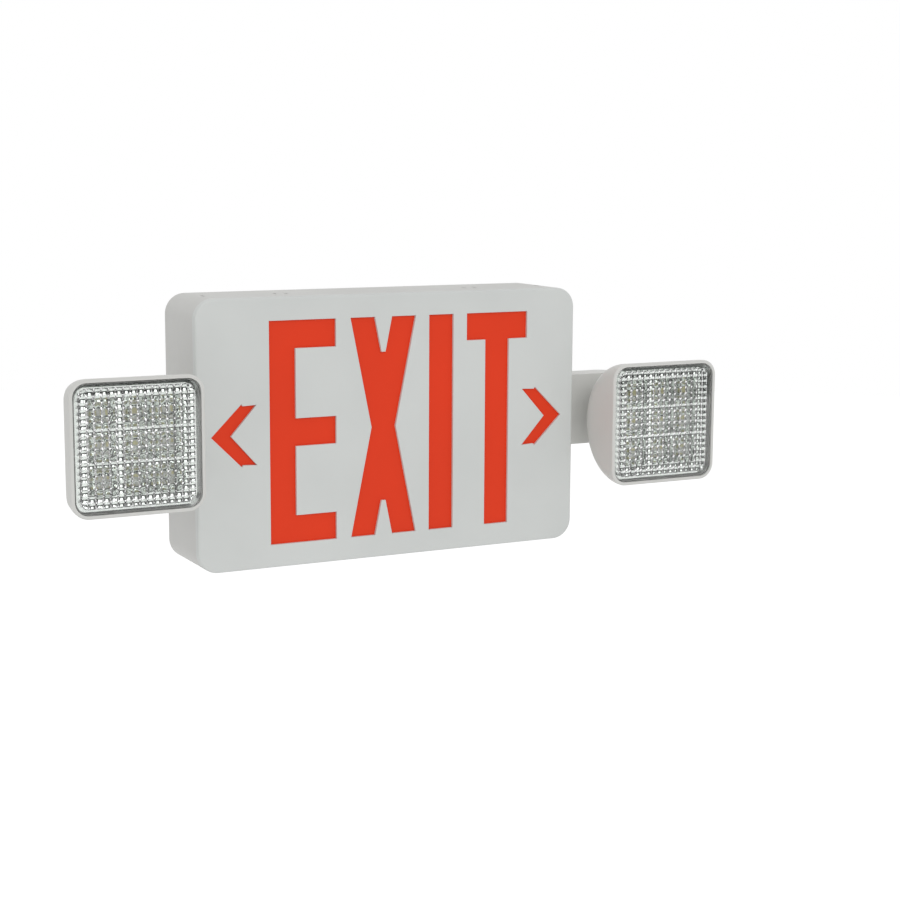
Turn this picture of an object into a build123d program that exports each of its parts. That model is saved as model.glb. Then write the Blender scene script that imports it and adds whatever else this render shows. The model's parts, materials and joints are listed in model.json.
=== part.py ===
from build123d import *
import os

os.makedirs("parts", exist_ok=True)

# Combined emergency exit sign: a white moulded sign box on a wall, with one lamp head at each side.
# The frame is X to the viewer's right, Z up, and the wall at Y = 0, so the room is towards -Y.
# A depth is a distance from the wall into the room.

# Overall sizes
overall_width = 482.6
overall_depth = 101.6
box_width = 289.0
box_height = 184.15
box_depth = 60.0
box_corner_radius = 14.0
wall = 2.5

# Back plate, housing and face plate
back_floor = 2.5
back_plate_depth = 9.0
face_thickness = 2.0
face_skirt = 3.0
face_edge_bevel = 0.8
tongue_wall = 1.2
tongue_length = 3.0
tongue_gap = 0.15
light_tray_back = 46.0
loose_fit = 0.3

# Snap fits and staked pegs
clearance = 0.2
press_gap = 0.04
hook_thickness = 1.2
hook_barb = 1.6
hook_barb_length = 4.0
tray_web = 1.8
tray_web_reach = 7.0
tray_web_x = 100.0
post_size = 7.0
peg_size = 3.0
peg_stand_out = 1.4

# Wall fixings in the back plate
wire_hole_radius = 11.1
box_screw_spacing = 88.9
box_screw_hole_radius = 2.6
keyhole_spacing = 203.2
keyhole_height = 40.0
keyhole_head_radius = 4.8
keyhole_slot_radius = 2.3
keyhole_travel = 8.0

# Top wall
plug_width = 28.0
plug_depth = 20.0
plug_flange = 1.0
plug_rim = 1.6
plug_body_length = 4.0
plug_distance = 28.0
release_slot_width = 1.8
release_slot_length = 7.0
release_slot_distance = 32.5
release_slot_offsets = (69.0, 77.0, 129.0)

# Direction chevrons
chevron_tip = 134.4
chevron_length = 21.6
chevron_half_height = 20.6
chevron_stroke = 10.8
chevron_notch = 14.0

# Legend panel and light tray
legend_thickness = 1.2
tray_wall = 1.5
tray_gap = 0.5
corner_cut = 8.5
strip_length = 250.0
strip_width = 7.0
strip_thickness = 1.2
chip_width = 3.5
chip_height = 0.8
chip_count = 10

# Charger board
board_width = 98.0
board_height = 60.0
board_thickness = 1.6
board_x = 77.0
board_floor_gap = 9.6
board_back = 14.0
board_peg_inset = 5.0
transformer_width = 34.0
transformer_height = 28.0
transformer_core = 12.0
transformer_rise = 24.0
transformer_x = 52.0
winding_width = 18.0
winding_inset = 4.0
capacitor_width = 9.0
capacitor_length = 17.0
capacitor_height = 15.0
capacitor_spacing = 13.0
capacitor_x = 90.0
capacitor_lift = 12.0
capacitor_count = 2

# Test button and charge indicator in the right wall
button_drop = 12.0
button_distance = 20.0
button_radius = 3.9
button_gap = 0.08
button_stand_out = 1.5
button_travel = 1.2
button_flange_width = 10.0
button_flange = 1.2
plunger_width = 4.0
collar_wall = 2.2
collar_height = 4.0
switch_size = 6.0
switch_rise = 8.0
switch_tip_width = 3.0
switch_tip = 1.2
switch_gap = 0.2
indicator_lift = 2.0
indicator_radius = 2.5
indicator_stand_out = 0.6
indicator_tail = 2.0

# Battery and terminal block on the back plate
cell_radius = 11.3
cell_spacing = 21.8
cell_length = 43.0
cell_count = 3
battery_x = -72.0
battery_floor_gap = 10.0
strap_width = 14.0
strap_thickness = 1.5
strap_foot = 9.0
strap_pad_height = 2.5
terminal_width = 30.0
terminal_height = 13.0
terminal_rise = 12.0
terminal_z = 44.0
terminal_ways = 3
terminal_mouth = 4.0

# Arm that carries a lamp head
arm_distance = 31.0
arm_half_depth = 10.5
arm_height = 52.0
arm_face_gap = 0.4
pan_offset = 11.3
fork_gap = 30.6
fork_root = 11.0
journal_radius = 9.0
journal_bore_radius = 4.5
journal_gap = 0.08
hub_width = 27.0
hub_height = 4.0
nut_across_flats = 24.0
nut_sides = 6
nut_thickness = 5.0
nut_gap = 0.05
nut_play = 0.1
journal_tail = 1.8
pan_pin_radius = 2.5
pan_pin_gap = 0.08
pan_pin_cover = 4.0

# Lamp head
lamp_size = 88.0
lamp_drop = 4.5
lamp_corner_radius = 11.5
lamp_back_bevel = 7.0
lamp_outer_depth = 20.0
lamp_rim = 2.3
lamp_shell_wall = 2.2
lens_seat_depth = 6.0
cavity_end_inset = 7.0
tongue_height = 30.0
tongue_half_width = 9.0
lens_inset = 0.5
lens_thickness = 2.0
lens_gap = 0.15
lens_skirt = 1.2
prism_pitch = 4.6
prism_depth = 1.0
prism_count = 16
prism_end_gap = 2.5
led_pitch = 21.5
led_rows = 3
cup_opening = 20.5
cup_base = 8.0
cup_wall = 0.8
cup_depth = 6.0
reflector_flange = 1.2
reflector_width = 76.0
reflector_gap = 0.5
lamp_board_width = 60.0
lamp_board_thickness = 1.6
lamp_board_rib = 1.8
led_size = 3.5
led_height = 1.2

# Places worked out from the sizes above
half_width = box_width / 2
half_height = box_height / 2
face_back = box_depth - face_thickness
housing_front = face_back - face_skirt
tongue_outer = wall + tongue_gap
tongue_inner = tongue_outer + tongue_wall
legend_back = face_back - legend_thickness
board_front = board_back + board_thickness
board_z = wall + board_floor_gap + board_height / 2 - half_height
button_z = board_z - button_drop
indicator_z = board_z + indicator_lift
board_peg_x = board_width / 2 - board_peg_inset
board_peg_z = board_height / 2 - board_peg_inset
board_points = [
    (board_x + side * board_peg_x, board_z + end * board_peg_z)
    for side in (-1, 1)
    for end in (-1, 1)
]
battery_z = wall + battery_floor_gap + cell_length / 2 - half_height
bracket_half_width = (cell_count - 1) * cell_spacing / 2 + cell_radius + loose_fit + strap_thickness
bracket_feet = [battery_x + side * (bracket_half_width + strap_foot / 2) for side in (-1, 1)]
strap_back = back_floor + strap_pad_height
release_slot_places = [side * offset for side in (-1, 1) for offset in release_slot_offsets]
hub_face = half_width - wall - hub_height
hub_length = hub_height + wall / 2
collar_face = half_width - wall - collar_height
collar_length = collar_height + wall / 2
button_end = board_x + board_width / 2 + switch_tip + button_travel + switch_gap
nut_face = hub_face - nut_play
lamp_x = overall_width / 2 - lamp_size / 2
lamp_z = -lamp_drop
pan_x = lamp_x - pan_offset
half_lamp = lamp_size / 2
reflector_front = overall_depth - lens_seat_depth
reflector_seat = reflector_front - reflector_flange
reflector_back = reflector_seat - cup_depth
lamp_board_back = reflector_back - lamp_board_thickness


def at_depth(depth, x=0.0, z=0.0):
    """Plane parallel to the wall that faces the room."""
    return Plane(origin=(x, -depth, z), x_dir=(1, 0, 0), z_dir=(0, -1, 0))


def across(x, depth=0.0, z=0.0):
    """Plane that faces the viewer's right, with its own x axis pointing to the wall."""
    return Plane(origin=(x, -depth, z), x_dir=(0, 1, 0), z_dir=(1, 0, 0))


def plate(width, height, radius, back, front, x=0.0, z=0.0):
    """Round-cornered slab between two depths."""
    return extrude(at_depth(back, x, z) * RectangleRounded(width, height, radius), amount=front - back)


def block(width, height, back, front, x=0.0, z=0.0):
    """Square-cornered slab between two depths."""
    return extrude(at_depth(back, x, z) * Rectangle(width, height), amount=front - back)


def inset_plate(inset, back, front):
    """Slab with the sign box's outline moved inwards."""
    return plate(box_width - 2 * inset, box_height - 2 * inset, box_corner_radius - inset, back, front)


def rod(radius, back, front, x=0.0, z=0.0):
    """Cylinder that points from the wall into the room."""
    return extrude(at_depth(back, x, z) * Circle(radius), amount=front - back)


def side_rod(radius, start, end, depth, z=0.0):
    """Cylinder along X."""
    return extrude(across(start, depth, z) * Circle(radius), amount=end - start)


def upright_rod(radius, x, depth, bottom, top):
    """Cylinder along Z."""
    return extrude(Plane((x, -depth, bottom)) * Circle(radius), amount=top - bottom)


def side_turn(side):
    """No turn for the right lamp's pieces (1), or half a turn for the left lamp's (-1)."""
    return Rot(0, 0 if side > 0 else 180, 0)


def make_back_plate():
    body = inset_plate(0, 0, back_plate_depth) - inset_plate(wall, back_floor, back_plate_depth)
    for x, z in board_points:
        body += block(post_size, post_size, 0, board_back, x, z)
        body += block(peg_size, peg_size, 0, board_front + peg_stand_out, x, z)
    body -= rod(wire_hole_radius, 0, back_floor)
    for side in (-1, 1):
        body -= rod(box_screw_hole_radius, 0, back_floor, side * box_screw_spacing / 2)
        x = side * keyhole_spacing / 2
        slot_middle = keyhole_height + keyhole_travel / 2
        body -= rod(keyhole_head_radius, 0, back_floor, x, keyhole_height)
        body -= rod(keyhole_slot_radius, 0, back_floor, x, keyhole_height + keyhole_travel)
        body -= block(2 * keyhole_slot_radius, keyhole_travel, 0, back_floor, x, slot_middle)
    for x in bracket_feet:
        body += block(strap_foot, strap_width, 0, strap_back, x, battery_z)
        body += block(peg_size, peg_size, 0, strap_back + strap_thickness + peg_stand_out, x, battery_z)
    return body


def make_housing():
    body = inset_plate(0, back_plate_depth, housing_front)
    body -= inset_plate(wall, back_plate_depth, housing_front)
    web_root = back_plate_depth - tongue_length
    for side in (-1, 1):
        for end in (-1, 1):
            x = side * tray_web_x
            z = end * (half_height - tongue_outer - tray_web_reach / 2)
            body += block(tray_web, tray_web_reach, web_root, light_tray_back, x, z)
            root_z = end * (half_height - wall / 2 - tongue_gap)
            body += block(tray_web, wall, back_plate_depth, light_tray_back, x, root_z)
    for side in (-1, 1):
        hub = Pos(hub_face + hub_length / 2, -arm_distance) * Box(hub_length, hub_width, hub_width)
        bore = side_rod(journal_radius + journal_gap, hub_face, half_width, arm_distance)
        body = body + side_turn(side) * hub - side_turn(side) * bore
    for z, radius in ((button_z, button_radius + button_gap), (indicator_z, indicator_radius + press_gap)):
        collar_width = 2 * (radius + collar_wall)
        collar = Box(collar_length, collar_width, collar_width)
        body += Pos(collar_face + collar_length / 2, -button_distance, z) * collar
        body -= side_rod(radius, collar_face, half_width, button_distance, z)
    body -= plug_space(plug_flange, plug_width, plug_depth)
    body -= plug_space(wall, plug_width - 2 * plug_rim, plug_depth - 2 * plug_rim)
    for x in release_slot_places:
        slot = Box(release_slot_width, release_slot_length, wall)
        body -= Pos(x, -release_slot_distance, half_height - wall / 2) * slot
    return body


def plug_space(depth, width, length):
    """Pocket in the top wall for the knock-out that takes a ceiling canopy."""
    return Pos(0, -plug_distance, half_height - depth / 2) * Box(width, length, depth)


def make_canopy_plug():
    flange = Box(plug_width - tongue_gap, plug_depth - tongue_gap, plug_flange)
    core_width = plug_width - 2 * plug_rim
    core_depth = plug_depth - 2 * plug_rim
    plug = Box(core_width - tongue_gap, core_depth - tongue_gap, plug_body_length)
    body = Pos(0, -plug_distance, half_height - plug_flange / 2) * flange
    body += Pos(0, -plug_distance, half_height - plug_body_length / 2) * plug
    hollow = Box(plug_width - 4 * plug_rim, plug_depth - 4 * plug_rim, plug_body_length - plug_flange)
    return body - Pos(0, -plug_distance, half_height - (plug_body_length + plug_flange) / 2) * hollow


def chevron():
    """Outline of the open arrow that points to the viewer's right."""
    outer = chevron_tip - chevron_length
    inner = outer - chevron_stroke
    points = [
        (chevron_tip, 0),
        (outer, chevron_half_height),
        (inner, chevron_half_height),
        (chevron_tip - chevron_notch, 0),
        (inner, -chevron_half_height),
        (outer, -chevron_half_height),
    ]
    return Polygon(*points, align=None)


def make_face_plate():
    panel = inset_plate(0, face_back, box_depth)
    front = panel.faces().sort_by(Axis.Y)[0]
    panel = chamfer(front.edges(), face_edge_bevel)
    panel += inset_plate(0, housing_front, face_back) - inset_plate(tongue_inner, housing_front, face_back)
    lip_back = housing_front - tongue_length
    panel += inset_plate(tongue_outer, lip_back, face_back) - inset_plate(tongue_inner, lip_back, face_back)
    for x in release_slot_places:
        panel += snap_hook(x)
    arrow = extrude(at_depth(face_back) * chevron(), amount=face_thickness)
    return panel - arrow - side_turn(-1) * arrow


def snap_hook(x):
    """Tab that runs back from the face plate's tongue, with a barb in a release slot of the top wall."""
    width = release_slot_width - 2 * clearance
    back = release_slot_distance - hook_barb_length / 2
    top = half_height - tongue_outer
    tab = block(width, hook_thickness, back, face_back, x, top - hook_thickness / 2)
    barb = block(width, hook_barb, back, back + hook_barb_length, x, top - hook_thickness + hook_barb / 2)
    return tab + barb


def sheet(inset, cut, back, front):
    """Slab inside the sign box with its corners cut off."""
    outline = Rectangle(box_width - 2 * inset, box_height - 2 * inset)
    return extrude(at_depth(back) * chamfer(outline.vertices(), cut), amount=front - back)


def make_legend_panel():
    return sheet(tongue_inner + loose_fit, corner_cut, legend_back, face_back)


def make_light_tray():
    inset = tongue_inner + tray_gap
    room = sheet(inset + tray_wall, corner_cut - tray_wall / 2, light_tray_back + tray_wall, legend_back)
    return sheet(inset, corner_cut, light_tray_back, legend_back) - room


def make_led_strip():
    """Strip along the top of the light tray, with its chips facing down."""
    top = half_height - tongue_inner - tray_gap - tray_wall
    middle = (light_tray_back + tray_wall + legend_back) / 2
    body = Pos(0, -middle, top - strip_thickness / 2) * Box(strip_length, strip_width, strip_thickness)
    pitch = strip_length / chip_count
    for index in range(chip_count):
        x = (index - (chip_count - 1) / 2) * pitch
        chip = Box(chip_width, chip_width, chip_height)
        body += Pos(x, -middle, top - strip_thickness - chip_height / 2) * chip
    return body


def make_circuit_board():
    """Charger board with its capacitors."""
    body = block(board_width, board_height, board_back, board_front, board_x, board_z)
    for index in range(capacitor_count):
        x = capacitor_x + index * capacitor_spacing
        top = board_front + capacitor_height
        body += block(capacitor_width, capacitor_length, board_back, top, x, board_z + capacitor_lift)
    hole = peg_size + 2 * clearance
    for x, z in board_points:
        body -= block(hole, hole, board_back, board_front, x, z)
    return body


def make_transformer():
    """Laminated core round a winding, standing on the charger board."""
    front = board_front + transformer_rise
    core = block(transformer_width, transformer_core, board_front, front, transformer_x, board_z)
    winding_front = front - winding_inset
    winding = block(winding_width, transformer_height, board_front, winding_front, transformer_x, board_z)
    return core + winding


def make_test_switch():
    edge = board_x + board_width / 2
    front = board_front + switch_rise
    body = block(switch_size, switch_size, board_front, front, edge - switch_size / 2, button_z)
    tip = Box(switch_tip, switch_tip_width, switch_tip_width)
    return body + Pos(edge + switch_tip / 2, -button_distance, button_z) * tip


def make_test_button():
    """Round cap with a square flange behind the collar and a square plunger for the switch."""
    flange_face = collar_face - loose_fit
    cap = side_rod(button_radius, flange_face, half_width + button_stand_out, button_distance, button_z)
    flange = Box(button_flange, button_flange_width, button_flange_width)
    plunger_length = flange_face - button_end
    plunger = Box(plunger_length, plunger_width, plunger_width)
    middle = Pos(0, -button_distance, button_z)
    body = cap + middle * Pos(flange_face - button_flange / 2) * flange
    return body + middle * Pos(flange_face - plunger_length / 2) * plunger


def make_indicator_lamp():
    start = collar_face - indicator_tail
    end = half_width + indicator_stand_out
    return side_rod(indicator_radius, start, end, button_distance, indicator_z)


def make_battery_pack():
    """Row of cells under a tight sleeve, lying on the back plate."""
    section = SlotCenterToCenter((cell_count - 1) * cell_spacing, 2 * cell_radius)
    bottom = Plane((battery_x, -back_floor - cell_radius, battery_z - cell_length / 2))
    return extrude(bottom * section, amount=cell_length)


def make_battery_bracket():
    """Strap over the cells with a foot at each side."""
    half = bracket_half_width
    front = back_floor + 2 * cell_radius + loose_fit + strap_thickness
    inside = half - strap_thickness
    body = block(2 * half, strap_width, strap_back, front, battery_x, battery_z)
    body -= block(2 * inside, strap_width, strap_back, front - strap_thickness, battery_x, battery_z)
    hole = peg_size + 2 * clearance
    for x in bracket_feet:
        body += block(strap_foot, strap_width, strap_back, strap_back + strap_thickness, x, battery_z)
        body -= block(hole, hole, strap_back, strap_back + strap_thickness, x, battery_z)
    return body


def make_terminal_block():
    front = back_floor + terminal_rise
    body = block(terminal_width, terminal_height, back_floor, front, 0, terminal_z)
    pitch = terminal_width / terminal_ways
    for index in range(terminal_ways):
        x = (index - (terminal_ways - 1) / 2) * pitch
        body -= block(terminal_mouth, terminal_mouth, back_floor + terminal_rise / 2, front, x, terminal_z)
    return body


def make_arm():
    """Arm with a hollow journal in the box's side wall and a fork for the lamp head."""
    start = half_width + arm_face_gap
    bottom = Plane((0, -arm_distance, -arm_height / 2))
    beam = Pos((start + pan_x) / 2, 0) * Rectangle(pan_x - start, 2 * arm_half_depth)
    body = extrude(bottom * (beam + Pos(pan_x, 0) * Circle(arm_half_depth)), amount=arm_height)
    slot_start = pan_x - fork_root
    slot_length = fork_root + 2 * arm_half_depth
    slot = Box(slot_length, 4 * arm_half_depth, fork_gap)
    body -= Pos(slot_start + slot_length / 2, -arm_distance, 0) * slot
    journal_end = nut_face - nut_thickness - journal_tail
    body += side_rod(journal_radius, journal_end, start, arm_distance)
    body -= side_rod(journal_bore_radius, journal_end, slot_start, arm_distance)
    pin_top = arm_height / 2 - pan_pin_cover
    return body - upright_rod(pan_pin_radius + press_gap, pan_x, arm_distance, -arm_height / 2, pin_top)


def make_lock_nut():
    """Hexagonal nut on the journal, with the threads left plain."""
    outline = RegularPolygon(nut_across_flats / 2, nut_sides, major_radius=False)
    section = outline - Circle(journal_radius + nut_gap)
    return extrude(across(nut_face - nut_thickness, arm_distance) * section, amount=nut_thickness)


def make_pan_pin():
    top = arm_height / 2 - pan_pin_cover - loose_fit
    return upright_rod(pan_pin_radius, pan_x, arm_distance, -arm_height / 2, top)


def lamp_form(end_inset, wall_inset, bevel):
    """Half drum along X with bevelled ends, and a back that slants towards the outer end."""
    half = half_lamp - end_inset
    radius = half_lamp - wall_inset
    profile = Polygon(
        (-half, 0),
        (-half, radius - bevel),
        (bevel - half, radius),
        (half - bevel, radius),
        (half, radius - bevel),
        (half, 0),
        align=None,
    )
    plan = Polygon(
        (-half_lamp, 0),
        (half_lamp, 0),
        (half_lamp, lamp_outer_depth - lamp_back_bevel),
        (half_lamp - lamp_back_bevel, lamp_outer_depth),
        (-half_lamp, half_lamp),
        align=None,
    )
    outline = offset(plan, -wall_inset, kind=Kind.INTERSECTION)
    room = extrude(Plane((0, 0, -half_lamp)) * outline, amount=lamp_size)
    return Pos(lamp_x, -overall_depth, lamp_z) * (revolve(profile, Axis.X) & room)


def lamp_slab(width, radius, back, front):
    """Round-cornered slab in line with the lamp's front."""
    return plate(width, width, radius, back, front, lamp_x, lamp_z)


def make_lamp_shell():
    outer = lamp_form(0, 0, lamp_back_bevel)
    outer &= lamp_slab(lamp_size, lamp_corner_radius, overall_depth - half_lamp, overall_depth)
    length = overall_depth - lamp_outer_depth - arm_distance
    bar = Pos(0, -length / 2) * Rectangle(2 * tongue_half_width, length)
    knuckle_plane = Plane((pan_x, -arm_distance, -tongue_height / 2))
    knuckle = extrude(knuckle_plane * (bar + Circle(tongue_half_width)), amount=tongue_height)
    opening = lamp_size - 2 * lamp_rim
    pocket = reflector_width + 2 * reflector_gap
    body = outer + knuckle - lamp_form(cavity_end_inset, lamp_shell_wall, 0)
    for end in (-1, 1):
        rib = block(
            lamp_board_width, lamp_board_rib, overall_depth - half_lamp, lamp_board_back, lamp_x,
            lamp_z + end * led_pitch / 2,
        )
        body += rib & outer
    body -= lamp_slab(opening, lamp_corner_radius - lamp_rim, reflector_front, overall_depth)
    body -= block(pocket, pocket, reflector_seat, overall_depth, lamp_x, lamp_z)
    bore = upright_rod(pan_pin_radius + pan_pin_gap, pan_x, arm_distance, -tongue_height, tongue_height)
    return body - bore


def led_points():
    places = [(index - (led_rows - 1) / 2) * led_pitch for index in range(led_rows)]
    return [(lamp_x + x, lamp_z + z) for x in places for z in places]


def make_lamp_lens():
    width = lamp_size - 2 * lamp_rim - 2 * lens_gap
    radius = lamp_corner_radius - lamp_rim - lens_gap
    front = overall_depth - lens_inset
    back = front - lens_thickness
    inner = width - 2 * lens_skirt
    body = lamp_slab(width, radius, reflector_front, front)
    body -= lamp_slab(inner, radius - lens_skirt, reflector_front, back)
    ridge = Polygon((-prism_pitch / 2, 0), (prism_pitch / 2, 0), (0, prism_depth), align=None)
    span = inner - 2 * prism_end_gap
    for index in range(prism_count):
        x = lamp_x + (index - (prism_count - 1) / 2) * prism_pitch
        body += extrude(Plane((x, -back, lamp_z - span / 2)) * ridge, amount=span)
    return body


def cup(opening, base, front, back, x, z):
    """Square tapered block from its mouth to its base."""
    half = opening / 2
    slope = Polygon((-half, -front), (half, -front), (base / 2, -back), (-base / 2, -back), align=None)
    wedge = extrude(Plane((x, 0, z - half)) * slope, amount=opening)
    sideways = Plane(origin=(x - half, 0, z), x_dir=(0, 0, 1), z_dir=(-1, 0, 0))
    turned = extrude(sideways * slope, amount=-opening)
    return wedge & turned


def make_lamp_reflector():
    """Plate with a square tapered cup round each LED."""
    body = block(reflector_width, reflector_width, reflector_seat, reflector_front, lamp_x, lamp_z)
    for x, z in led_points():
        body += cup(cup_opening + cup_wall, cup_base + 2 * cup_wall, reflector_seat, reflector_back, x, z)
    for x, z in led_points():
        body -= cup(cup_opening, cup_base, reflector_front, reflector_back, x, z)
    return body


def make_lamp_board():
    return block(lamp_board_width, lamp_board_width, lamp_board_back, reflector_back, lamp_x, lamp_z)


def make_lamp_leds():
    chips = [
        block(led_size, led_size, reflector_back, reflector_back + led_height, x, z) for x, z in led_points()
    ]
    return Compound(children=chips)


sign_parts = {
    "back_plate": make_back_plate(),
    "housing": make_housing(),
    "face_plate": make_face_plate(),
    "legend_panel": make_legend_panel(),
    "light_tray": make_light_tray(),
    "led_strip_top": make_led_strip(),
    "led_strip_bottom": side_turn(-1) * make_led_strip(),
    "circuit_board": make_circuit_board(),
    "transformer": make_transformer(),
    "test_switch": make_test_switch(),
    "test_button": make_test_button(),
    "indicator_lamp": make_indicator_lamp(),
    "battery_pack": make_battery_pack(),
    "battery_bracket": make_battery_bracket(),
    "terminal_block": make_terminal_block(),
    "canopy_plug": make_canopy_plug(),
}

side_parts = {
    "arm": make_arm(),
    "lock_nut": make_lock_nut(),
    "pan_pin": make_pan_pin(),
    "lamp_shell": make_lamp_shell(),
    "lamp_lens": make_lamp_lens(),
    "lamp_reflector": make_lamp_reflector(),
    "lamp_board": make_lamp_board(),
    "lamp_leds": make_lamp_leds(),
}

# The left lamp is the right one turned half round about the line from the wall to the room.
for name, shape in sign_parts.items():
    export_step(shape, f"parts/{name}.step")
for side, label in ((1, "right"), (-1, "left")):
    for name, shape in side_parts.items():
        export_step(side_turn(side) * shape, f"parts/{name}_{label}.step")
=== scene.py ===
import json
import math

import bmesh
import bpy
from mathutils import Matrix, Vector
from mathutils.geometry import tessellate_polygon


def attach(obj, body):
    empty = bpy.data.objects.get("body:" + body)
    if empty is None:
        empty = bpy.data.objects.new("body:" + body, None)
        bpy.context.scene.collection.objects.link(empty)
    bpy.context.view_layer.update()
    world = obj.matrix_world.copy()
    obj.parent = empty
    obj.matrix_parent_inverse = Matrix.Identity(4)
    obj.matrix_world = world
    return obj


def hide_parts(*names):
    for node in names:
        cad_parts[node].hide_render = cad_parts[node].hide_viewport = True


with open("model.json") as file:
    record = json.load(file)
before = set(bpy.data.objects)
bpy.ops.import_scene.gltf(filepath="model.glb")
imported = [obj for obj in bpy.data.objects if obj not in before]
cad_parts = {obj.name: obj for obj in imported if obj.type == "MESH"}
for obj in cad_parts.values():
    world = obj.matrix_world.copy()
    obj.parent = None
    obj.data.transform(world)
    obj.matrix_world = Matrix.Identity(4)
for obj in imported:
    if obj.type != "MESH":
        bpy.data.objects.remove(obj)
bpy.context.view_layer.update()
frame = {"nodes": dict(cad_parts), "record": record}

# Lengths are in millimetres where nothing else is said. MM turns them into the scene's metres.
# A depth is a distance from the wall into the room, which is -Y.
MM = 0.001

# Sign box
BOX_WIDTH = 289.0
BOX_HEIGHT = 184.15
BOX_DEPTH = 60.0
BOX_RADIUS = 14.0
FACE_THICKNESS = 2.0
FACE_SKIRT = 3.0
FACE_EDGE_RADIUS = 1.5
LIP_OUTER_INSET = 2.65
LIP_INNER_INSET = 3.85
LIP_LENGTH = 3.0
CUT_CHAMFER = 0.18
CORNER_STEPS = 10
EDGE_STEPS = 5
WELD_DISTANCE = 0.01

# Legend: plain block letters cut through the face
LETTER_HALF_HEIGHT = 76.2
STROKE = 19.05
E_LEFT = -92.6
E_WIDTH = 48.8
X_MIDDLE = -8.0
X_HALF_WIDTH = 24.9
X_STROKE = 18.4
X_NOTCH_HEIGHT = 52.0
I_LEFT = 27.2
T_MIDDLE = 81.3
T_WIDTH = 48.8

# Direction chevrons, each with a small step left at its arm ends
CHEVRON_TIP = 134.4
CHEVRON_OUTER = 112.8
CHEVRON_INNER = 102.0
CHEVRON_NOTCH = 120.4
CHEVRON_HALF_HEIGHT = 20.4
CHEVRON_STEP = 0.9

# Lamp heads
LAMP_X = 197.3
LAMP_Z = -4.5
HEAD_DEPTH = 101.6
HEAD_HALF = 44.0
HEAD_RADIUS = 11.5
HEAD_INNER_REACH = 44.0
HEAD_OUTER_REACH = 20.0
HEAD_BEVEL = 7.0
HEAD_ROUND_STEPS = 10
HEAD_ARC_STEPS = 48
BACK_SHARPNESS = 26
BACK_FADE = 0.6
RIM_EDGE = 0.5
LENS_OPENING = 41.7
POCKET_HALF = 38.5
POCKET_RADIUS = 1.0
POCKET_BACK = 94.4
CAVITY_HALF = 37.0
CAVITY_RADIUS = 38.7
CAVITY_STEPS = 4
CAVITY_WALL = 2.3
PIVOT_X = 186.0
PIVOT_DEPTH = 31.0
KNUCKLE_HALF = 9.0
KNUCKLE_TOP = 15.0
KNUCKLE_SINK = 1.2
PIN_BORE = 2.58
BORE_STEPS = 24
LENS_FRONT = 101.1
LENS_BACK = 99.1
LENS_SEAT = 95.6
LENS_LIFT = 0.06
LENS_HALF = 41.55
LENS_RADIUS = 9.05
LENS_SKIRT = 1.2
LENS_EDGE_RADIUS = 0.7
PRISM_COLUMNS = 16
PRISM_ROWS = 18
PRISM_STEPS = 8
PRISM_MARGIN = 2.6
COLUMN_HEIGHT = 1.15
ROW_HEIGHT = 0.9
REFLECTOR_FRONT = 96.4
REFLECTOR_HALF = 40.2
REFLECTOR_RADIUS = 7.6
REFLECTOR_THICKNESS = 0.8
CUP_PITCH = 21.5
CUP_MOUTH = 10.1
CUP_BASE = 4.0
CUP_WALL = 0.5
CUP_FOOT = 88.45
CUP_SIDE_STEPS = 10
CUP_RINGS = 10
MOUTH_ROUNDNESS = 0.3

# Looks: sizes of the noise patterns (repeats per metre), shares of the colour, and grain depths in metres
PLASTIC_CLOUD = 14.0
PLASTIC_GLOSS = 160.0
PLASTIC_DARK = 0.975
PLASTIC_LIGHT = 1.02
PLASTIC_GLOSS_SPREAD = 0.07
PLASTIC_GRAIN_DEPTH = 0.00004
METAL_CLOUD = 90.0
METAL_DARK = 0.9
METAL_GLOSS_SHARE = 0.25
METAL_GRAIN_DEPTH = 0.00002
CLEAR_CLOUD = 60.0
CLEAR_DARK = 0.985
CLEAR_GLOSS = 220.0
CLEAR_GLOSS_SHARE = 0.4

# Studio and camera, in metres
CAMERA_TARGET = (0.043893, -0.060, -0.020151)
CAMERA_DISTANCE = 1.296040
CAMERA_LENS = 73.2086
CAMERA_AZIMUTH = -27.502
CAMERA_ELEVATION = 9.028
CAMERA_ROLL = 0.295
WHITE = (1, 1, 1, 1)
WORLD_LEVEL = 0.72
ROOM_LEVEL = 0.02
ROOM_START = -0.95
ROOM_END = -0.35
FLOOR_Z = -0.72
FLOOR_RADIUS = 6.0
FLOOR_LIFT = 0.45
FLOOR_CLOUD = 3.0
FLOOR_GREY = (0.86, 0.86, 0.86)
FLOOR_PALE = (0.88, 0.88, 0.88)


# --- Mesh helpers -------------------------------------------------------------------------------

def point(x, depth, z):
    """A place on the sign, in the scene's metres."""
    return Vector((x, -depth, z)) * MM


def rounded_loop(half_x, half_z, radius, steps=CORNER_STEPS):
    """Outline of a round-cornered rectangle, anticlockwise seen from the room."""
    loop = []
    for corner, (sx, sz) in enumerate(((1, 1), (-1, 1), (-1, -1), (1, -1))):
        for step in range(steps + 1):
            angle = math.radians(90 * (corner + step / steps))
            loop.append((
                sx * (half_x - radius) + radius * math.cos(angle),
                sz * (half_z - radius) + radius * math.sin(angle),
            ))
    return loop


def box_loop(inset):
    return rounded_loop(BOX_WIDTH / 2 - inset, BOX_HEIGHT / 2 - inset, BOX_RADIUS - inset)


def grow(loop, amount):
    """The same outline moved outwards, with its corners kept sharp."""
    grown = []
    for index, here in enumerate(loop):
        before = Vector(here) - Vector(loop[index - 1])
        after = Vector(loop[(index + 1) % len(loop)]) - Vector(here)
        first = Vector((before.y, -before.x)).normalized()
        second = Vector((after.y, -after.x)).normalized()
        middle = (first + second).normalized()
        grown.append(tuple(Vector(here) + middle * (amount / middle.dot(first))))
    return grown


def add_loop(bm, loop, depth):
    return [bm.verts.new(point(x, depth, z)) for x, z in loop]


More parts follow.
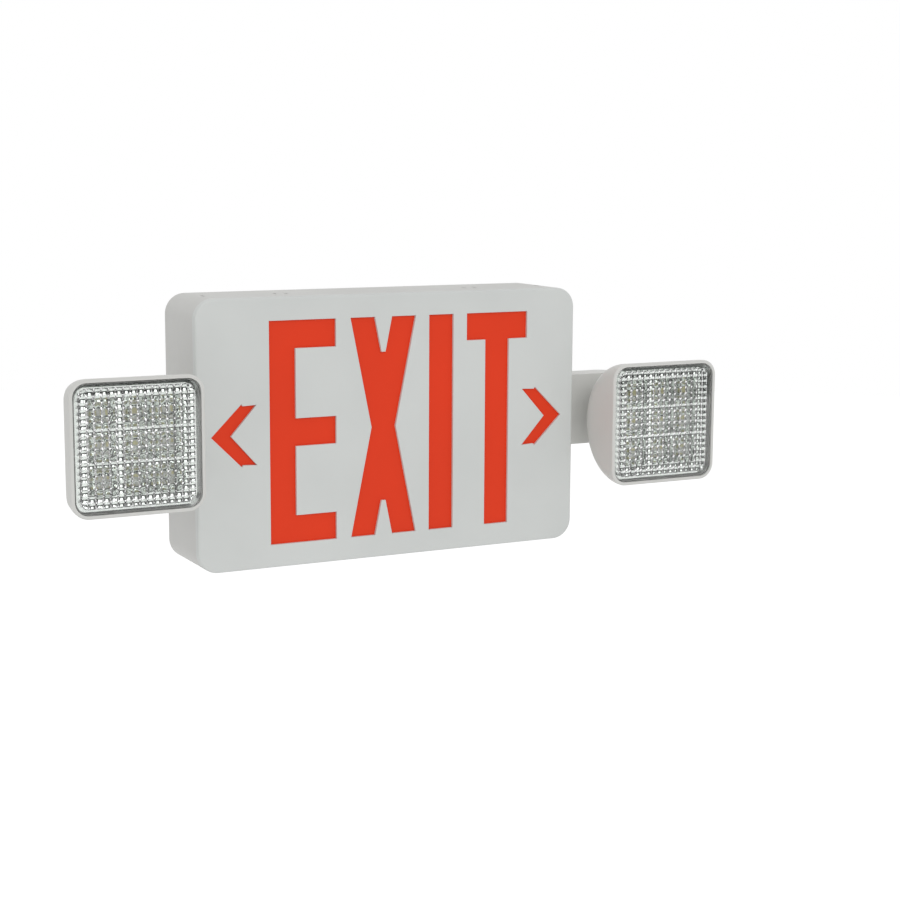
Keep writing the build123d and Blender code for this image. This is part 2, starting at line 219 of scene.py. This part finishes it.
def bridge(bm, first, second):
    """Ring of faces between two loops of as many points."""
    count = len(first)
    for index in range(count):
        following = (index + 1) % count
        bm.faces.new((first[index], first[following], second[following], second[index]))


def fill(bm, loops):
    """Flat faces between an outline and the openings in it."""
    corners = [vert for loop in loops for vert in loop]
    for triangle in tessellate_polygon([[vert.co for vert in loop] for loop in loops]):
        bm.faces.new([corners[index] for index in triangle])


def finish_piece(bm, name, body, slot, replaces, sharp=35):
    """Turns the mesh into a piece that rides on a body of the frame."""
    bmesh.ops.recalc_face_normals(bm, faces=bm.faces)
    mesh = bpy.data.meshes.new(name)
    bm.to_mesh(mesh)
    bm.free()
    mesh.shade_smooth()
    mesh.set_sharp_from_angle(angle=math.radians(sharp))
    piece = bpy.data.objects.new(name, mesh)
    bpy.context.scene.collection.objects.link(piece)
    weighted = piece.modifiers.new("weighted_normals", "WEIGHTED_NORMAL")
    weighted.keep_sharp = True
    mesh.materials.append(materials[slot])
    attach(piece, body)
    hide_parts(*replaces)


# --- Materials ----------------------------------------------------------------------------------

def new_material(name, **inputs):
    """A node material with its constant values on the shader's own sockets."""
    material = bpy.data.materials.new(name)
    material.use_nodes = True
    shader = material.node_tree.nodes["Principled BSDF"]
    for socket, value in inputs.items():
        shader.inputs[socket.replace("_", " ")].default_value = value
    return material, shader


def noise(material, scale, detail=2.0):
    tree = material.node_tree
    coordinates = tree.nodes.new("ShaderNodeTexCoord")
    texture = tree.nodes.new("ShaderNodeTexNoise")
    texture.inputs["Scale"].default_value = scale
    texture.inputs["Detail"].default_value = detail
    tree.links.new(coordinates.outputs["Object"], texture.inputs["Vector"])
    return texture.outputs["Fac"]


def ramp(material, factor, low, high, start=0.35, end=0.65):
    node = material.node_tree.nodes.new("ShaderNodeValToRGB")
    for element, place, colour in zip(node.color_ramp.elements, (start, end), (low, high)):
        element.position = place
        element.color = (*colour, 1)
    material.node_tree.links.new(factor, node.inputs["Fac"])
    return node.outputs["Color"]


def spread(material, factor, low, high):
    node = material.node_tree.nodes.new("ShaderNodeMapRange")
    node.inputs["To Min"].default_value = low
    node.inputs["To Max"].default_value = high
    material.node_tree.links.new(factor, node.inputs["Value"])
    return node.outputs["Result"]


def bump(material, shader, height, strength, distance):
    node = material.node_tree.nodes.new("ShaderNodeBump")
    node.inputs["Strength"].default_value = strength
    node.inputs["Distance"].default_value = distance
    material.node_tree.links.new(height, node.inputs["Height"])
    material.node_tree.links.new(node.outputs["Normal"], shader.inputs["Normal"])


def scaled(colour, amount):
    return tuple(min(1.0, channel * amount) for channel in colour)


def moulded_plastic(name, colour, roughness=0.5, grain=1500.0, strength=0.25, ior=1.5):
    """Moulded plastic: a fine spark-eroded grain, and faint clouding in colour and gloss."""
    material, shader = new_material(name, IOR=ior)
    links = material.node_tree.links
    cloud = noise(material, PLASTIC_CLOUD, 3.0)
    colours = ramp(material, cloud, scaled(colour, PLASTIC_DARK), scaled(colour, PLASTIC_LIGHT))
    links.new(colours, shader.inputs["Base Color"])
    glossy, dull = roughness - PLASTIC_GLOSS_SPREAD, roughness + PLASTIC_GLOSS_SPREAD
    links.new(spread(material, noise(material, PLASTIC_GLOSS), glossy, dull), shader.inputs["Roughness"])
    bump(material, shader, noise(material, grain, 3.0), strength, PLASTIC_GRAIN_DEPTH)
    return material


def metal(name, colour, roughness, grain=400.0, strength=0.1):
    """Metal, or a bright metal coat, with a fine grain in its gloss."""
    material, shader = new_material(name, Metallic=1.0)
    links = material.node_tree.links
    cloud = noise(material, METAL_CLOUD)
    links.new(ramp(material, cloud, scaled(colour, METAL_DARK), colour), shader.inputs["Base Color"])
    glossy, dull = roughness * (1 - METAL_GLOSS_SHARE), roughness * (1 + METAL_GLOSS_SHARE)
    links.new(spread(material, noise(material, grain), glossy, dull), shader.inputs["Roughness"])
    bump(material, shader, noise(material, grain, 4.0), strength, METAL_GRAIN_DEPTH)
    return material


def clear_plastic(name, colour, roughness):
    """Clear moulded plastic with a faint haze that varies over it."""
    material, shader = new_material(name, IOR=1.58, Transmission_Weight=1.0)
    links = material.node_tree.links
    cloud = noise(material, CLEAR_CLOUD)
    links.new(ramp(material, cloud, scaled(colour, CLEAR_DARK), colour), shader.inputs["Base Color"])
    glossy, dull = roughness * (1 - CLEAR_GLOSS_SHARE), roughness * (1 + CLEAR_GLOSS_SHARE)
    links.new(spread(material, noise(material, CLEAR_GLOSS), glossy, dull), shader.inputs["Roughness"])
    return material


materials = {
    "housing_plastic": moulded_plastic("housing_plastic", (0.62, 0.62, 0.60)),
    "face_plastic": moulded_plastic("face_plastic", (0.66, 0.68, 0.665)),
    "lamp_plastic": moulded_plastic("lamp_plastic", (0.67, 0.67, 0.645), roughness=0.42),
    "legend_red": moulded_plastic("legend_red", (0.80, 0.042, 0.006), roughness=0.5, grain=900.0, ior=1.35),
    "tray_white": moulded_plastic("tray_white", (0.80, 0.80, 0.79), roughness=0.6),
    "lens_clear": clear_plastic("lens_clear", (0.96, 0.97, 0.965), 0.02),
    "reflector_chrome": metal("reflector_chrome", (0.80, 0.83, 0.80), 0.05),
    "board_green": moulded_plastic("board_green", (0.03, 0.17, 0.07), roughness=0.35, grain=700.0),
    "board_white": moulded_plastic("board_white", (0.74, 0.74, 0.72), roughness=0.4, grain=700.0),
    "led_yellow": moulded_plastic("led_yellow", (0.66, 0.62, 0.36), roughness=0.3, grain=2500.0),
    "indicator_red": moulded_plastic(
        "indicator_red", (0.42, 0.02, 0.02), roughness=0.15, grain=300.0, strength=0.05,
    ),
    "steel": metal("steel", (0.55, 0.56, 0.58), 0.32, strength=0.2),
    "core_steel": metal("core_steel", (0.24, 0.24, 0.25), 0.45, grain=900.0, strength=0.3),
    "sleeve_blue": moulded_plastic("sleeve_blue", (0.03, 0.11, 0.38), roughness=0.25, grain=220.0),
    "button_white": moulded_plastic("button_white", (0.62, 0.62, 0.61), roughness=0.3),
    "switch_black": moulded_plastic("switch_black", (0.02, 0.02, 0.02), roughness=0.5),
}

for part in frame["record"]["subparts"]:
    node = frame["nodes"][part["node"]]
    node.data.materials.clear()
    node.data.materials.append(materials[part["material_slot"]])


# --- Face plate with its stencil legend ---------------------------------------------------------

def letter_e():
    top, right, stem = LETTER_HALF_HEIGHT, E_LEFT + E_WIDTH, E_LEFT + STROKE
    half = STROKE / 2
    return [
        (E_LEFT, -top), (right, -top), (right, STROKE - top), (stem, STROKE - top),
        (stem, -half), (right, -half), (right, half), (stem, half),
        (stem, top - STROKE), (right, top - STROKE), (right, top), (E_LEFT, top),
    ]


def letter_x():
    top, waist = LETTER_HALF_HEIGHT, X_STROKE / 2
    slope = (X_HALF_WIDTH - waist) / top
    notch = X_HALF_WIDTH - X_STROKE - slope * (top - X_NOTCH_HEIGHT)
    inner = X_HALF_WIDTH - X_STROKE
    quarter = [(inner, top), (notch, X_NOTCH_HEIGHT)]
    foot = [(notch, -X_NOTCH_HEIGHT), (inner, -top), (X_HALF_WIDTH, -top)]
    right = [*foot, (waist, 0), (X_HALF_WIDTH, top), *quarter]
    left = [(-x, z) for x, z in reversed(right)]
    return [(X_MIDDLE + x, z) for x, z in right + left]


def letter_i():
    top, right = LETTER_HALF_HEIGHT, I_LEFT + STROKE
    return [(I_LEFT, -top), (right, -top), (right, top), (I_LEFT, top)]


def letter_t():
    top, half, stem = LETTER_HALF_HEIGHT, T_WIDTH / 2, STROKE / 2
    right = [(stem, -top), (stem, top - STROKE), (half, top - STROKE), (half, top)]
    left = [(-x, z) for x, z in reversed(right)]
    return [(T_MIDDLE + x, z) for x, z in right + left]


def chevron(side):
    """Open arrow that points outwards on one side (1 right, -1 left)."""
    top, step = CHEVRON_HALF_HEIGHT, CHEVRON_STEP
    upper = [
        (CHEVRON_TIP, 0), (CHEVRON_OUTER, top + step),
        (CHEVRON_OUTER - step, top - step / 2), (CHEVRON_INNER, top),
    ]
    lower = [(x, -z) for x, z in reversed(upper[1:])]
    loop = upper + [(CHEVRON_NOTCH, 0)] + lower
    return loop if side > 0 else [(-x, z) for x, z in reversed(loop)]


def stencil_face():
    bm = bmesh.new()
    front, back = BOX_DEPTH, BOX_DEPTH - FACE_THICKNESS
    skirt = back - FACE_SKIRT
    radius = FACE_EDGE_RADIUS
    rings = []
    for step in range(EDGE_STEPS + 1):
        angle = math.radians(90 * step / EDGE_STEPS)
        rings.append((radius * (1 - math.sin(angle)), front - radius * (1 - math.cos(angle))))
    rings += [
        (0, skirt), (LIP_OUTER_INSET, skirt), (LIP_OUTER_INSET, skirt - LIP_LENGTH),
        (LIP_INNER_INSET, skirt - LIP_LENGTH), (LIP_INNER_INSET, back),
    ]
    loops = [add_loop(bm, box_loop(inset), depth) for inset, depth in rings]
    for first, second in zip(loops, loops[1:]):
        bridge(bm, first, second)
    front_loops, back_loops = [loops[0]], [loops[-1]]
    for cut in (letter_e(), letter_x(), letter_i(), letter_t(), chevron(1), chevron(-1)):
        mouth = add_loop(bm, grow(cut, CUT_CHAMFER), front)
        edge = add_loop(bm, cut, front - CUT_CHAMFER)
        root = add_loop(bm, cut, back)
        bridge(bm, mouth, edge)
        bridge(bm, edge, root)
        front_loops.append(mouth)
        back_loops.append(root)
    fill(bm, front_loops)
    fill(bm, back_loops)
    finish_piece(bm, "stencil_face", "sign", "face_plastic", ["face_plate"])


# --- Lamp heads ---------------------------------------------------------------------------------

def square_to_rounded(x, z, half, radius):
    """Moves a point of a square into the same square with round corners."""
    inner = half - radius
    dx, dz = abs(x) - inner, abs(z) - inner
    if dx <= 0 or dz <= 0:
        return x, z
    shrink = max(dx, dz) / math.hypot(dx, dz)
    return math.copysign(inner + dx * shrink, x), math.copysign(inner + dz * shrink, z)


def ridge(share, count):
    """Height of a row of half-round ridges, from 0 in the grooves to 1 on the crests."""
    place = (share * count) % 1.0
    return 4 * place * (1 - place)


def prism_lens(side, label):
    """Clear cover with crossed ridges moulded on its inner face, inside a plain margin."""
    bm = bmesh.new()
    centre_x, centre_z = side * LAMP_X, side * LAMP_Z
    half, radius = LENS_HALF - LENS_SKIRT, LENS_RADIUS - LENS_SKIRT
    columns, rows = PRISM_COLUMNS * PRISM_STEPS, PRISM_ROWS * PRISM_STEPS
    margin = PRISM_MARGIN / (2 * half)
    grid = []
    for row in range(rows + 1):
        line = []
        for column in range(columns + 1):
            share_x, share_z = column / columns, row / rows
            x, z = square_to_rounded((2 * share_x - 1) * half, (2 * share_z - 1) * half, half, radius)
            field_x, field_z = ((share - margin) / (1 - 2 * margin) for share in (share_x, share_z))
            height = 0
            if 0 < field_x < 1 and 0 < field_z < 1:
                height = COLUMN_HEIGHT * ridge(field_x, PRISM_COLUMNS)
                height += ROW_HEIGHT * ridge(field_z, PRISM_ROWS)
            line.append(bm.verts.new(point(centre_x + x, LENS_BACK - height, centre_z + z)))
        grid.append(line)
    for low, high in zip(grid, grid[1:]):
        for column in range(columns):
            bm.faces.new((low[column], low[column + 1], high[column + 1], high[column]))
    border = (
        grid[0][:-1] + [line[-1] for line in grid[:-1]] + grid[-1][:0:-1] + [line[0] for line in grid[:0:-1]]
    )
    shares = [((vert.co.x / MM - centre_x) / half, (vert.co.z / MM - centre_z) / half) for vert in border]

    def ring(inset, depth):
        """The lens outline at one inset, with a point for each point of the ridged field's border."""
        ring_half = LENS_HALF - inset
        ring_radius = LENS_RADIUS - inset
        straight = half - radius
        places = []
        for share_x, share_z in shares:
            x, z = share_x * half, share_z * half
            core_x = max(-straight, min(straight, x))
            core_z = max(-straight, min(straight, z))
            away = Vector((x - core_x, z - core_z))
            away = away.normalized() * ring_radius if away.length else away
            places.append((
                centre_x + max(-ring_half, min(ring_half, core_x + away.x)),
                centre_z + max(-ring_half, min(ring_half, core_z + away.y)),
            ))
        return add_loop(bm, places, depth)

    # The foot stands just clear of its ledge, so that light leaves the clear plastic there.
    foot = LENS_SEAT + LENS_LIFT
    rings = [border, ring(LENS_SKIRT, foot), ring(0, foot)]
    for step in range(EDGE_STEPS + 1):
        angle = math.radians(90 * step / EDGE_STEPS)
        inset, drop = LENS_EDGE_RADIUS * (1 - math.cos(angle)), LENS_EDGE_RADIUS * (1 - math.sin(angle))
        rings.append(ring(inset, LENS_FRONT - drop))
    for first, second in zip(rings, rings[1:]):
        bridge(bm, first, second)
    bm.faces.new(rings[-1])
    name, hidden = f"prism_lens_{label}", f"lamp_lens_{label}"
    finish_piece(bm, name, f"lamp_{label}", "lens_clear", [hidden], sharp=28)


def cell_loop(half, roundness, steps):
    """Closed loop between a square (0) and a circle (1) of the same half width."""
    loop = []
    for corner in range(4):
        for step in range(steps):
            across = 2 * step / steps - 1
            square = Vector((1, across))
            circle = square.normalized()
            place = square.lerp(circle, roundness)
            turn = Matrix.Rotation(math.radians(90 * corner), 2)
            loop.append(tuple(turn @ place * half))
    return loop


def reflector_cells(bm, side, thickness, wall):
    """One face of the reflector: three by three parabolic cups, and the flat border round them."""
    front = REFLECTOR_FRONT - thickness
    mouth, base = CUP_MOUTH + wall, CUP_BASE + wall
    feet = []
    for column in (-1, 0, 1):
        for row in (-1, 0, 1):
            x0, z0 = side * LAMP_X + column * CUP_PITCH, side * LAMP_Z + row * CUP_PITCH
            loops = [(CUP_PITCH / 2, 0.0, front), (mouth, MOUTH_ROUNDNESS, front)]
            for index in range(1, CUP_RINGS + 1):
                share = index / CUP_RINGS
                half = mouth + (base - mouth) * share
                drop = 1 - (half**2 - base**2) / (mouth**2 - base**2)
                roundness = MOUTH_ROUNDNESS + (1 - MOUTH_ROUNDNESS) * share
                loops.append((half, roundness, front + (CUP_FOOT - front) * drop))
            made = []
            for half, roundness, depth in loops:
                outline = [(x0 + x, z0 + z) for x, z in cell_loop(half, roundness, CUP_SIDE_STEPS)]
                made.append(add_loop(bm, outline, depth))
            for first, second in zip(made, made[1:]):
                bridge(bm, first, second)
            feet.append(made[-1])
    steps = 3 * CUP_SIDE_STEPS
    half = 1.5 * CUP_PITCH
    block = []
    for corner in range(4):
        for step in range(steps):
            turn = Matrix.Rotation(math.radians(90 * corner), 2)
            x, z = turn @ Vector((1, 2 * step / steps - 1)) * half
            block.append((side * LAMP_X + x, side * LAMP_Z + z))
    outline = [
        (side * LAMP_X + x, side * LAMP_Z + z)
        for x, z in rounded_loop(REFLECTOR_HALF, REFLECTOR_HALF, REFLECTOR_RADIUS)
    ]
    outer = add_loop(bm, outline, front)
    fill(bm, [outer, add_loop(bm, block, front)])
    return outer, feet


def cup_reflector(side, label):
    """Bright moulded tray of three by three cups, open at their feet round the LEDs."""
    bm = bmesh.new()
    front_outline, front_feet = reflector_cells(bm, side, 0, 0)
    back_outline, back_feet = reflector_cells(bm, side, REFLECTOR_THICKNESS, CUP_WALL)
    bridge(bm, front_outline, back_outline)
    for first, second in zip(front_feet, back_feet):
        bridge(bm, first, second)
    bmesh.ops.remove_doubles(bm, verts=bm.verts, dist=WELD_DISTANCE * MM)
    name, hidden = f"cup_reflector_{label}", f"lamp_reflector_{label}"
    finish_piece(bm, name, f"lamp_{label}", "reflector_chrome", [hidden], sharp=40)


def head_reach(across):
    """Depth of the head's slanted back, measured from its front, at a place along its width."""
    fall = (HEAD_INNER_REACH - HEAD_OUTER_REACH) / (2 * HEAD_HALF - HEAD_BEVEL)
    return HEAD_INNER_REACH - fall * (across + HEAD_HALF)


def head_section(radius, reach, angles):
    """Places (depth behind the front, height) round a half drum whose back is cut flat."""
    places = []
    for angle in angles:
        flat = max(math.cos(angle), 1e-6) / reach
        span = (radius**-BACK_SHARPNESS + flat**BACK_SHARPNESS) ** (-1 / BACK_SHARPNESS)
        places.append((span * math.cos(angle), span * math.sin(angle)))
    return places


def lamp_cover(side, label):
    """Moulded head with rounded ends, open at the front for the lens, and its knuckle behind."""
    bm = bmesh.new()

    def place(across, behind, height):
        return bm.verts.new(point(side * (LAMP_X + across), HEAD_DEPTH - behind, side * (LAMP_Z + height)))

    def skin(stations, angles):
        """Surface through sections along the head, closed at both ends. Gives its open front edge."""
        rows = []
        for across, radius, reach, limit in stations:
            section = head_section(radius, reach, angles)
            rows.append([place(across, max(behind, limit), height) for behind, height in section])
        for first, second in zip(rows, rows[1:]):
            for index in range(len(angles) - 1):
                bm.faces.new((first[index], first[index + 1], second[index + 1], second[index]))
        bm.faces.new(rows[0])
        bm.faces.new(rows[-1])
        return [row[0] for row in rows] + [row[-1] for row in reversed(rows)]

    turns = [math.radians(90 * step / HEAD_ROUND_STEPS) for step in range(HEAD_ROUND_STEPS + 1)]
    core = HEAD_HALF - HEAD_RADIUS
    ends = [(core + HEAD_RADIUS * math.sin(turn), HEAD_RADIUS * (1 - math.cos(turn))) for turn in turns]
    rounds = [(-across, inset) for across, inset in reversed(ends)] + ends
    quarter_turn = math.pi / 2
    angles = [quarter_turn - math.pi * step / HEAD_ARC_STEPS for step in range(HEAD_ARC_STEPS + 1)]
    shell = []
    for across, inset in rounds:
        reach = head_reach(across) - BACK_FADE * inset
        shell.append((across, HEAD_HALF - inset, reach, RIM_EDGE))
    mouth = skin(shell, angles)
    outline = [
        ((vert.co.x / MM - side * LAMP_X) * side, (vert.co.z / MM - side * LAMP_Z) * side) for vert in mouth
    ]
    shrink = (HEAD_HALF - RIM_EDGE) / HEAD_HALF
    rim = [place(x * shrink, 0, z * shrink) for x, z in outline]
    bridge(bm, mouth, rim)

    def square(half, radius, behind):
        return [place(x, behind, z) for x, z in rounded_loop(half, half, radius)]

    opening = square(LENS_OPENING, LENS_OPENING - core, 0)
    seat = square(LENS_OPENING, LENS_OPENING - core, HEAD_DEPTH - LENS_SEAT)
    pocket = square(POCKET_HALF, POCKET_RADIUS, HEAD_DEPTH - LENS_SEAT)
    floor = square(POCKET_HALF, POCKET_RADIUS, HEAD_DEPTH - POCKET_BACK)
    fill(bm, [rim, opening])
    for first, second in ((opening, seat), (seat, pocket), (pocket, floor)):
        bridge(bm, first, second)
    start = math.acos((HEAD_DEPTH - POCKET_BACK) / CAVITY_RADIUS)
    inner_angles = [start * (1 - 2 * step / HEAD_ARC_STEPS) for step in range(HEAD_ARC_STEPS + 1)]
    cavity = []
    for step in range(CAVITY_STEPS + 1):
        across = CAVITY_HALF * (2 * step / CAVITY_STEPS - 1)
        cavity.append((across, CAVITY_RADIUS, head_reach(across) - CAVITY_WALL, 0))
    fill(bm, [floor, skin(cavity, inner_angles)])

    pivot = PIVOT_X - LAMP_X
    plan = []
    for step in range(2 * HEAD_ROUND_STEPS + 1):
        angle = math.pi * step / (2 * HEAD_ROUND_STEPS)
        plan.append((
            pivot + KNUCKLE_HALF * math.cos(angle), HEAD_DEPTH - PIVOT_DEPTH + KNUCKLE_HALF * math.sin(angle)
        ))
    for across in (pivot - KNUCKLE_HALF, pivot + KNUCKLE_HALF):
        plan.append((across, head_reach(across) - KNUCKLE_SINK))
    bore = []
    for step in range(BORE_STEPS):
        angle = 2 * math.pi * step / BORE_STEPS
        bore.append((
            pivot + PIN_BORE * math.cos(angle), HEAD_DEPTH - PIVOT_DEPTH + PIN_BORE * math.sin(angle)
        ))
    levels = [
        [[place(x, behind, end * KNUCKLE_TOP - LAMP_Z) for x, behind in loop] for loop in (plan, bore)]
        for end in (1, -1)
    ]
    for upper, lower in zip(*levels):
        bridge(bm, upper, lower)
    for loops in levels:
        fill(bm, loops)
    name, hidden = f"lamp_cover_{label}", f"lamp_shell_{label}"
    finish_piece(bm, name, f"lamp_{label}", "lamp_plastic", [hidden], sharp=32)


stencil_face()
for side, label in ((1, "right"), (-1, "left")):
    prism_lens(side, label)
    cup_reflector(side, label)
    lamp_cover(side, label)


# --- Studio -------------------------------------------------------------------------------------

def combine(tree, operation, first, second):
    """Math node fed by a socket and by another socket or a number."""
    node = tree.nodes.new("ShaderNodeMath")
    node.operation = operation
    tree.links.new(first, node.inputs[0])
    if isinstance(second, float):
        node.inputs[1].default_value = second
    else:
        tree.links.new(second, node.inputs[1])
    return node.outputs[0]


def white_backdrop():
    """World that lights the object evenly and is plain white where it is seen."""
    world = bpy.data.worlds.new("studio")
    bpy.context.scene.world = world
    world.use_nodes = True
    tree = world.node_tree
    tree.nodes.clear()
    rays = tree.nodes.new("ShaderNodeLightPath").outputs
    seen = combine(tree, "MAXIMUM", rays["Is Camera Ray"], rays["Is Glossy Ray"])
    seen = combine(tree, "MAXIMUM", seen, rays["Is Transmission Ray"])
    # Dull surfaces behind the lenses are lit by the even light, not by the dark room.
    seen = combine(tree, "MULTIPLY", seen, combine(tree, "LESS_THAN", rays["Diffuse Depth"], 0.5))
    # What shines back from the room in front is mostly dark, so the bright reflectors keep their contrast.
    coordinates = tree.nodes.new("ShaderNodeTexCoord")
    split = tree.nodes.new("ShaderNodeSeparateXYZ")
    tree.links.new(coordinates.outputs["Generated"], split.inputs[0])
    room = tree.nodes.new("ShaderNodeMapRange")
    room.interpolation_type = "SMOOTHSTEP"
    for socket, value in (
        ("From Min", ROOM_START), ("From Max", ROOM_END), ("To Min", ROOM_LEVEL), ("To Max", 1.0),
    ):
        room.inputs[socket].default_value = value
    tree.links.new(split.outputs["Y"], room.inputs["Value"])
    light = tree.nodes.new("ShaderNodeBackground")
    light.inputs["Color"].default_value = WHITE
    light.inputs["Strength"].default_value = WORLD_LEVEL
    white = tree.nodes.new("ShaderNodeBackground")
    white.inputs["Color"].default_value = WHITE
    level = combine(tree, "MAXIMUM", room.outputs["Result"], rays["Is Camera Ray"])
    tree.links.new(level, white.inputs["Strength"])
    mix = tree.nodes.new("ShaderNodeMixShader")
    for value, socket in zip((seen, light.outputs[0], white.outputs[0]), mix.inputs):
        tree.links.new(value, socket)
    output = tree.nodes.new("ShaderNodeOutputWorld")
    tree.links.new(mix.outputs[0], output.inputs["Surface"])


def pale_floor():
    """Floor below the sign. It stays white where it is lit and keeps the sign's soft shadow."""
    bm = bmesh.new()
    bmesh.ops.create_circle(bm, cap_ends=True, segments=96, radius=FLOOR_RADIUS)
    mesh = bpy.data.meshes.new("floor")
    bm.to_mesh(mesh)
    bm.free()
    floor = bpy.data.objects.new("floor", mesh)
    floor.location = (0, 0, FLOOR_Z)
    bpy.context.scene.collection.objects.link(floor)
    material, shader = new_material("floor_paper", Roughness=0.9, Specular_IOR_Level=0.0)
    tree = material.node_tree
    colours = ramp(material, noise(material, FLOOR_CLOUD), FLOOR_GREY, FLOOR_PALE)
    tree.links.new(colours, shader.inputs["Base Color"])
    rays = tree.nodes.new("ShaderNodeLightPath").outputs
    lift = combine(tree, "MAXIMUM", rays["Is Camera Ray"], rays["Is Glossy Ray"])
    shader.inputs["Emission Color"].default_value = WHITE
    tree.links.new(spread(material, lift, 0.0, FLOOR_LIFT), shader.inputs["Emission Strength"])
    mesh.materials.append(material)


def softbox(name, place, size, power):
    """Square lamp that shines from its place to the middle of the sign's back."""
    lamp = bpy.data.lights.new(name, "AREA")
    lamp.shape = "SQUARE"
    lamp.size = size
    lamp.energy = power
    holder = bpy.data.objects.new(name, lamp)
    holder.location = place
    holder.rotation_mode = "QUATERNION"
    holder.rotation_quaternion = (-Vector(place)).to_track_quat("-Z", "Y")
    bpy.context.scene.collection.objects.link(holder)


def photo_camera():
    """Camera at the photograph's place, with its small roll."""
    azimuth, elevation, roll = map(math.radians, (CAMERA_AZIMUTH, CAMERA_ELEVATION, CAMERA_ROLL))
    away = math.cos(elevation)
    back = Vector((math.sin(azimuth) * away, -math.cos(azimuth) * away, math.sin(elevation)))
    level = (-back).cross(Vector((0, 0, 1))).normalized()
    upright = level.cross(-back)
    right = level * math.cos(roll) + upright * math.sin(roll)
    up = upright * math.cos(roll) - level * math.sin(roll)
    camera = bpy.data.cameras.new("photo_camera")
    camera.sensor_width = 36.0
    camera.lens = CAMERA_LENS
    holder = bpy.data.objects.new("photo_camera", camera)
    place = Vector(CAMERA_TARGET) + back * CAMERA_DISTANCE
    holder.matrix_world = Matrix.Translation(place) @ Matrix((right, up, back)).transposed().to_4x4()
    bpy.context.scene.collection.objects.link(holder)
    bpy.context.scene.camera = holder


white_backdrop()
pale_floor()
softbox("key", (-0.3, -2.4, 1.0), size=1.3, power=13.0)
softbox("fill", (0.6, -1.6, -1.6), size=1.4, power=5.5)
photo_camera()

bpy.context.scene.view_settings.view_transform = "Standard"
